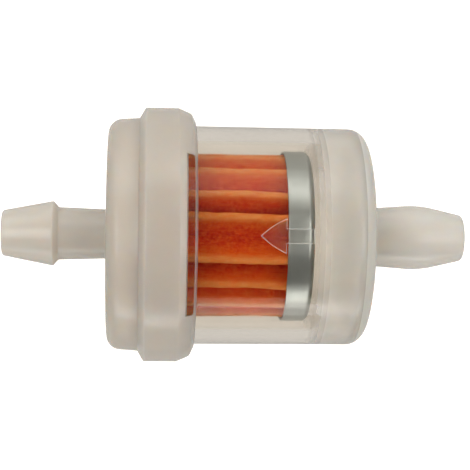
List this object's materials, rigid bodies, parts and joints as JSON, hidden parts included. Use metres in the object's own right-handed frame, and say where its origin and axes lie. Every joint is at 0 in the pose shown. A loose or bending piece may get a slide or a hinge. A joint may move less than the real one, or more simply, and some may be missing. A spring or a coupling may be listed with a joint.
{
  "type": "inline fuel filter",
  "caption": "Inline fuel filter: a clear bowl and a stepped cap bonded round a pleated paper element with metal ends, with a hose nipple at each end and a raised flow arrow.",
  "frame": {"origin": "on the filter's axis, midway between the tips of the two nipples, which is the centre of the bounding box", "axes": "+X along the axis towards the inlet nipple, so fuel flows towards -X; +Z out of the body through the flow arrow"},
  "size_m": [0.0572, 0.0314, 0.0314],
  "materials": {
    "bowl_plastic": "moulded, faintly milky, see-through",
    "cap_plastic": "moulded, milky, translucent",
    "adhesive": "cured adhesive",
    "filter_paper": "resin-treated, fibrous",
    "tinplate": "satin, pressed",
    "rubber": "matte"
  },
  "bodies": {
    "root": {"bowl": "bowl_plastic", "cap": "cap_plastic", "bond_layer": "adhesive", "pleated_paper": "filter_paper", "seam_clip": "tinplate", "centre_tube": "tinplate", "closed_end_cup": "tinplate", "closed_end_adhesive": "adhesive", "open_end_ring": "tinplate", "open_end_adhesive": "adhesive", "seal_grommet": "rubber"}
  },
  "joints": []
}
